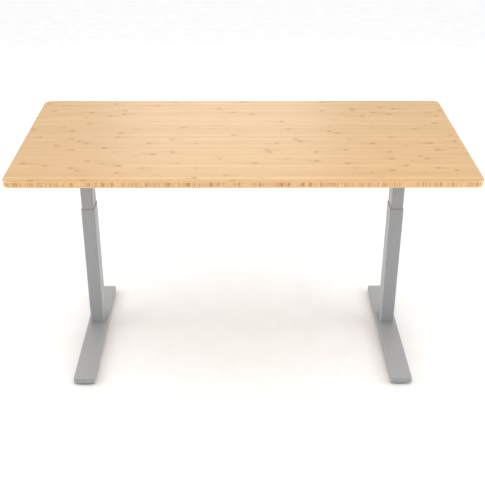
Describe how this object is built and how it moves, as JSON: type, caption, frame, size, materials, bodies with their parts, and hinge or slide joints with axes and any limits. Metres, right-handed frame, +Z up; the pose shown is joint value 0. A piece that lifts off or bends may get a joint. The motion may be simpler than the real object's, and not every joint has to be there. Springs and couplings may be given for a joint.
{
  "type": "height adjustable standing desk",
  "caption": "Sit-stand desk: bamboo desktop on two telescopic steel lifting columns with flat feet, levelling glides, motors, control box and handset.",
  "frame": {"origin": "on the floor under the middle of the desktop (bottom centre of the bounding box)", "axes": "+X along the desktop to the right, +Y from the user to the back, +Z up"},
  "size_m": [1.524, 0.762, 0.838],
  "materials": {
    "bamboo": "satin lacquered bamboo",
    "frame_steel": "satin grey powder coat",
    "light_plastic": "matt grey moulding, like the frame",
    "slider_plastic": "matt natural",
    "black_plastic": "fine matt texture",
    "rubber": "matt",
    "zinc_steel": "bright zinc",
    "bearing_steel": "ground",
    "bronze": "machined",
    "die_cast": "as cast",
    "motor_can": "satin dark grey",
    "button_plastic": "matt light grey",
    "board_green": "circuit board",
    "lead_rubber": "matt cable jacket"
  },
  "bodies": {
    "base": {"foot_left": "frame_steel", "foot_right": "frame_steel", "glide_nuts": "zinc_steel", "foot_bolts": "zinc_steel", "base_plates": "frame_steel", "outer_tube_left": "frame_steel", "outer_tube_right": "frame_steel", "lower_collars": "light_plastic", "fixed_screws": "zinc_steel"},
    "glide_front_left": {"glide_front_left": "light_plastic"},
    "glide_rear_left": {"glide_rear_left": "light_plastic"},
    "glide_front_right": {"glide_front_right": "light_plastic"},
    "glide_rear_right": {"glide_rear_right": "light_plastic"},
    "middle": {"middle_tube_left": "frame_steel", "middle_tube_right": "frame_steel", "upper_collars": "light_plastic", "middle_sliders": "slider_plastic", "bearing_plates": "frame_steel", "screw_bearings": "bearing_steel"},
    "screw_left": {"hollow_screw_left": "zinc_steel", "lower_nut_left": "bronze"},
    "screw_right": {"hollow_screw_right": "zinc_steel", "lower_nut_right": "bronze"},
    "drive_left": {"drive_tube_left": "zinc_steel", "worm_wheel_left": "bronze"},
    "drive_right": {"drive_tube_right": "zinc_steel", "worm_wheel_right": "bronze"},
    "worm_left": {"worm_left": "bearing_steel"},
    "worm_right": {"worm_right": "bearing_steel"},
    "top": {"desktop": "bamboo", "inner_tube_left": "frame_steel", "inner_tube_right": "frame_steel", "inner_sliders": "slider_plastic", "lift_nuts": "slider_plastic", "head_brackets": "frame_steel", "gearbox_housings": "die_cast", "gearbox_covers": "die_cast", "gear_bearings": "bearing_steel", "gearbox_screws": "zinc_steel", "motor_left": "motor_can", "motor_right": "motor_can", "side_bracket_left": "frame_steel", "side_bracket_right": "frame_steel", "rails_left": "frame_steel", "rails_right": "frame_steel", "rail_sleeves": "frame_steel", "frame_bolts": "zinc_steel", "bracket_pads": "rubber", "desktop_screws": "zinc_steel", "desktop_inserts": "zinc_steel", "control_box": "black_plastic", "control_lid": "black_plastic", "control_board": "board_green", "mains_inlet": "black_plastic", "handset_housing": "black_plastic", "handset_face": "black_plastic", "motor_leads": "lead_rubber", "handset_lead": "lead_rubber"},
    "button_up": {"button_up": "button_plastic"},
    "button_down": {"button_down": "button_plastic"}
  },
  "joints": [
    {"name": "lift_middle", "type": "slide", "parent": "base", "child": "middle", "axis": [0, 0, 1], "range_m": [-0.0943, 0.2307]},
    {"name": "lift_top", "type": "slide", "parent": "middle", "child": "top", "axis": [0, 0, 1], "range_m": [-0.0943, 0.2307]},
    {"name": "screw_left_turn", "type": "hinge", "parent": "middle", "child": "screw_left", "pos_m": [-0.576, 0.087, 0.1], "axis": [0, 0, 1], "range_deg": [-4300, 10400]},
    {"name": "drive_left_turn", "type": "hinge", "parent": "top", "child": "drive_left", "pos_m": [-0.576, 0.087, 0.7], "axis": [0, 0, 1], "range_deg": [-4300, 10400]},
    {"name": "worm_left_turn", "type": "hinge", "parent": "top", "child": "worm_left", "pos_m": [-0.576, 0.114, 0.7546], "axis": [1, 0, 0], "range_deg": [-128000, 312000]},
    {"name": "screw_right_turn", "type": "hinge", "parent": "middle", "child": "screw_right", "pos_m": [0.576, 0.087, 0.1], "axis": [0, 0, 1], "range_deg": [-4300, 10400]},
    {"name": "drive_right_turn", "type": "hinge", "parent": "top", "child": "drive_right", "pos_m": [0.576, 0.087, 0.7], "axis": [0, 0, 1], "range_deg": [-4300, 10400]},
    {"name": "worm_right_turn", "type": "hinge", "parent": "top", "child": "worm_right", "pos_m": [0.576, 0.114, 0.7546], "axis": [1, 0, 0], "range_deg": [-128000, 312000]},
    {"name": "button_up_press", "type": "slide", "parent": "top", "child": "button_up", "axis": [0, 1, 0], "range_m": [0, 0.001], "stiffness_N_per_m": 2500, "springref_m": -0.0002},
    {"name": "button_down_press", "type": "slide", "parent": "top", "child": "button_down", "axis": [0, 1, 0], "range_m": [0, 0.001], "stiffness_N_per_m": 2500, "springref_m": -0.0002},
    {"name": "glide_front_left_adjust", "type": "slide", "parent": "base", "child": "glide_front_left", "axis": [0, 0, -1], "range_m": [0, 0.008]},
    {"name": "glide_front_right_adjust", "type": "slide", "parent": "base", "child": "glide_front_right", "axis": [0, 0, -1], "range_m": [0, 0.008]},
    {"name": "glide_rear_left_adjust", "type": "slide", "parent": "base", "child": "glide_rear_left", "axis": [0, 0, -1], "range_m": [0, 0.008]},
    {"name": "glide_rear_right_adjust", "type": "slide", "parent": "base", "child": "glide_rear_right", "axis": [0, 0, -1], "range_m": [0, 0.008]}
  ],
  "couplings": [
    {"joint": "lift_top", "follows": "lift_middle", "ratio": 1},
    {"joint": "screw_left_turn", "follows": "lift_middle", "rad_per_m": 785.4},
    {"joint": "drive_left_turn", "follows": "lift_middle", "rad_per_m": 785.4},
    {"joint": "worm_left_turn", "follows": "lift_middle", "rad_per_m": 23562},
    {"joint": "screw_right_turn", "follows": "lift_middle", "rad_per_m": 785.4},
    {"joint": "drive_right_turn", "follows": "lift_middle", "rad_per_m": 785.4},
    {"joint": "worm_right_turn", "follows": "lift_middle", "rad_per_m": 23562}
  ]
}
